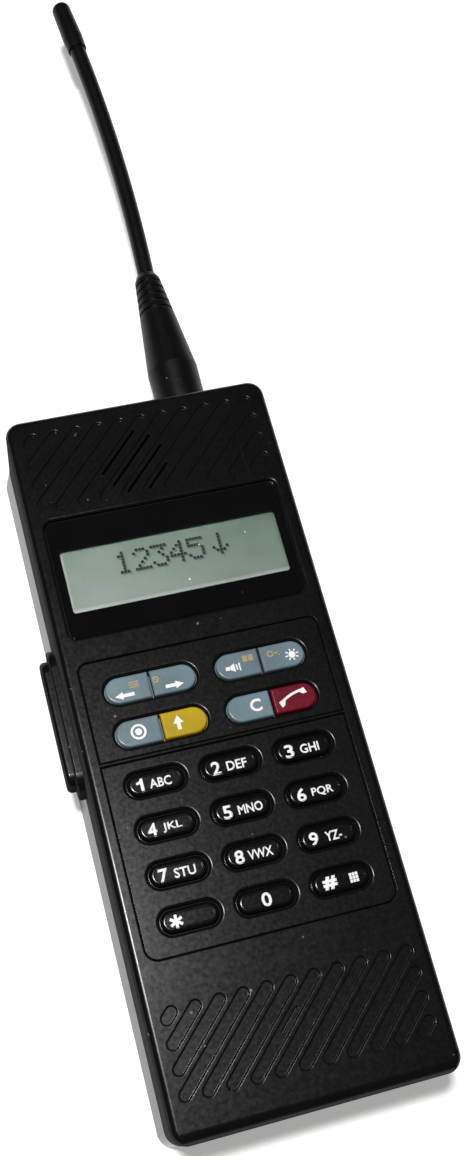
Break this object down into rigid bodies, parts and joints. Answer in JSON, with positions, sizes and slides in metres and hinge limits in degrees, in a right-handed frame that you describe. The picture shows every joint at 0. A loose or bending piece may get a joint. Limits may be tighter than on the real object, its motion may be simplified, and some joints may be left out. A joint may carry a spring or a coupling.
{
  "type": "mobile phone",
  "caption": "Early mobile brick phone lying on its back: black handset with grey-green LCD, slanted grilles, coloured function keys, number pad, side rocker and screw-in whip aerial.",
  "frame": {"origin": "centre of the flat back, on the surface that the phone rests on", "axes": "+X to the right seen from the face, +Y towards the aerial, +Z out of the face"},
  "size_m": [0.0735, 0.3208, 0.031],
  "materials": {
    "casing": "textured",
    "rear_casing": "fine texture",
    "lens": "clear polished",
    "black_print": "gloss print",
    "lcd": "satin",
    "tin": "satin",
    "white_plastic": "matt",
    "rubber": "matt",
    "silicone": "matt",
    "board": "solder mask",
    "connector_plastic": "matt",
    "gold": "plated",
    "cell_sleeve": "sleeve",
    "steel": "zinc",
    "brass": "machined",
    "aerial_rubber": "satin",
    "number_keys": "satin gloss",
    "grey_keys": "satin gloss",
    "yellow_key": "satin gloss",
    "red_key": "satin gloss"
  },
  "bodies": {
    "phone": {"front_cover": "casing", "rear_cover": "rear_casing", "number_key_plate": "casing", "function_key_plate": "casing", "display_lens": "lens", "display_mask": "black_print", "lcd_glass": "lcd", "lcd_frame": "tin", "lcd_backlight": "white_plastic", "lcd_contact_strips": "rubber", "key_mat": "silicone", "keypad_board": "board", "main_board": "board", "shield_cans": "tin", "board_link": "connector_plastic", "earpiece": "connector_plastic", "earpiece_gasket": "rubber", "microphone": "connector_plastic", "microphone_boot": "rubber", "ringer": "connector_plastic", "accessory_connector": "connector_plastic", "connector_pins": "gold", "card_reader": "connector_plastic", "card_contacts": "gold", "contact_block": "connector_plastic", "contact_pins": "gold", "volume_pin": "steel", "volume_switches": "connector_plastic", "aerial_socket": "brass", "case_screws": "steel"},
    "key_1_body": {"key_1": "number_keys"},
    "key_2_body": {"key_2": "number_keys"},
    "key_3_body": {"key_3": "number_keys"},
    "key_4_body": {"key_4": "number_keys"},
    "key_5_body": {"key_5": "number_keys"},
    "key_6_body": {"key_6": "number_keys"},
    "key_7_body": {"key_7": "number_keys"},
    "key_8_body": {"key_8": "number_keys"},
    "key_9_body": {"key_9": "number_keys"},
    "key_star_body": {"key_star": "number_keys"},
    "key_0_body": {"key_0": "number_keys"},
    "key_hash_body": {"key_hash": "number_keys"},
    "key_back_body": {"key_back": "grey_keys"},
    "key_forward_body": {"key_forward": "grey_keys"},
    "key_speaker_body": {"key_speaker": "grey_keys"},
    "key_light_body": {"key_light": "grey_keys"},
    "key_ring_body": {"key_ring": "grey_keys"},
    "key_shift_body": {"key_shift": "yellow_key"},
    "key_clear_body": {"key_clear": "grey_keys"},
    "key_call_body": {"key_call": "red_key"},
    "volume_rocker": {"volume_key": "casing"},
    "battery": {"battery_case": "rear_casing", "battery_cover": "rear_casing", "battery_cells": "cell_sleeve", "battery_terminals": "gold"},
    "lock": {"battery_lock": "rear_casing"},
    "aerial": {"aerial_boot": "aerial_rubber", "aerial_whip": "aerial_rubber", "aerial_cap": "aerial_rubber", "aerial_stud": "brass"}
  },
  "joints": [
    {"name": "press_1", "type": "slide", "parent": "phone", "child": "key_1_body", "axis": [0, 0, -1], "range_m": [0, 0.0008], "stiffness_N_per_m": 900},
    {"name": "press_2", "type": "slide", "parent": "phone", "child": "key_2_body", "axis": [0, 0, -1], "range_m": [0, 0.0008], "stiffness_N_per_m": 900},
    {"name": "press_3", "type": "slide", "parent": "phone", "child": "key_3_body", "axis": [0, 0, -1], "range_m": [0, 0.0008], "stiffness_N_per_m": 900},
    {"name": "press_4", "type": "slide", "parent": "phone", "child": "key_4_body", "axis": [0, 0, -1], "range_m": [0, 0.0008], "stiffness_N_per_m": 900},
    {"name": "press_5", "type": "slide", "parent": "phone", "child": "key_5_body", "axis": [0, 0, -1], "range_m": [0, 0.0008], "stiffness_N_per_m": 900},
    {"name": "press_6", "type": "slide", "parent": "phone", "child": "key_6_body", "axis": [0, 0, -1], "range_m": [0, 0.0008], "stiffness_N_per_m": 900},
    {"name": "press_7", "type": "slide", "parent": "phone", "child": "key_7_body", "axis": [0, 0, -1], "range_m": [0, 0.0008], "stiffness_N_per_m": 900},
    {"name": "press_8", "type": "slide", "parent": "phone", "child": "key_8_body", "axis": [0, 0, -1], "range_m": [0, 0.0008], "stiffness_N_per_m": 900},
    {"name": "press_9", "type": "slide", "parent": "phone", "child": "key_9_body", "axis": [0, 0, -1], "range_m": [0, 0.0008], "stiffness_N_per_m": 900},
    {"name": "press_star", "type": "slide", "parent": "phone", "child": "key_star_body", "axis": [0, 0, -1], "range_m": [0, 0.0008], "stiffness_N_per_m": 900},
    {"name": "press_0", "type": "slide", "parent": "phone", "child": "key_0_body", "axis": [0, 0, -1], "range_m": [0, 0.0008], "stiffness_N_per_m": 900},
    {"name": "press_hash", "type": "slide", "parent": "phone", "child": "key_hash_body", "axis": [0, 0, -1], "range_m": [0, 0.0008], "stiffness_N_per_m": 900},
    {"name": "press_back", "type": "slide", "parent": "phone", "child": "key_back_body", "axis": [0, 0, -1], "range_m": [0, 0.0008], "stiffness_N_per_m": 900},
    {"name": "press_forward", "type": "slide", "parent": "phone", "child": "key_forward_body", "axis": [0, 0, -1], "range_m": [0, 0.0008], "stiffness_N_per_m": 900},
    {"name": "press_speaker", "type": "slide", "parent": "phone", "child": "key_speaker_body", "axis": [0, 0, -1], "range_m": [0, 0.0008], "stiffness_N_per_m": 900},
    {"name": "press_light", "type": "slide", "parent": "phone", "child": "key_light_body", "axis": [0, 0, -1], "range_m": [0, 0.0008], "stiffness_N_per_m": 900},
    {"name": "press_ring", "type": "slide", "parent": "phone", "child": "key_ring_body", "axis": [0, 0, -1], "range_m": [0, 0.0008], "stiffness_N_per_m": 900},
    {"name": "press_shift", "type": "slide", "parent": "phone", "child": "key_shift_body", "axis": [0, 0, -1], "range_m": [0, 0.0008], "stiffness_N_per_m": 900},
    {"name": "press_clear", "type": "slide", "parent": "phone", "child": "key_clear_body", "axis": [0, 0, -1], "range_m": [0, 0.0008], "stiffness_N_per_m": 900},
    {"name": "press_call", "type": "slide", "parent": "phone", "child": "key_call_body", "axis": [0, 0, -1], "range_m": [0, 0.0008], "stiffness_N_per_m": 900},
    {"name": "rock_volume", "type": "hinge", "parent": "phone", "child": "volume_rocker", "pos_m": [-0.0302, 0.013, 0.0165], "axis": [0, 0, 1], "range_deg": [-1.6, 1.6], "stiffness_Nm_per_rad": 0.5},
    {"name": "slide_battery", "type": "slide", "parent": "phone", "child": "battery", "axis": [0, -1, 0], "range_m": [0, 0.085]},
    {"name": "slide_lock", "type": "slide", "parent": "phone", "child": "lock", "axis": [1, 0, 0], "range_m": [0, 0.004]},
    {"name": "turn_aerial", "type": "hinge", "parent": "phone", "child": "aerial", "pos_m": [0.0148, 0.0903, 0.017], "axis": [0, 1, 0], "continuous": true}
  ]
}
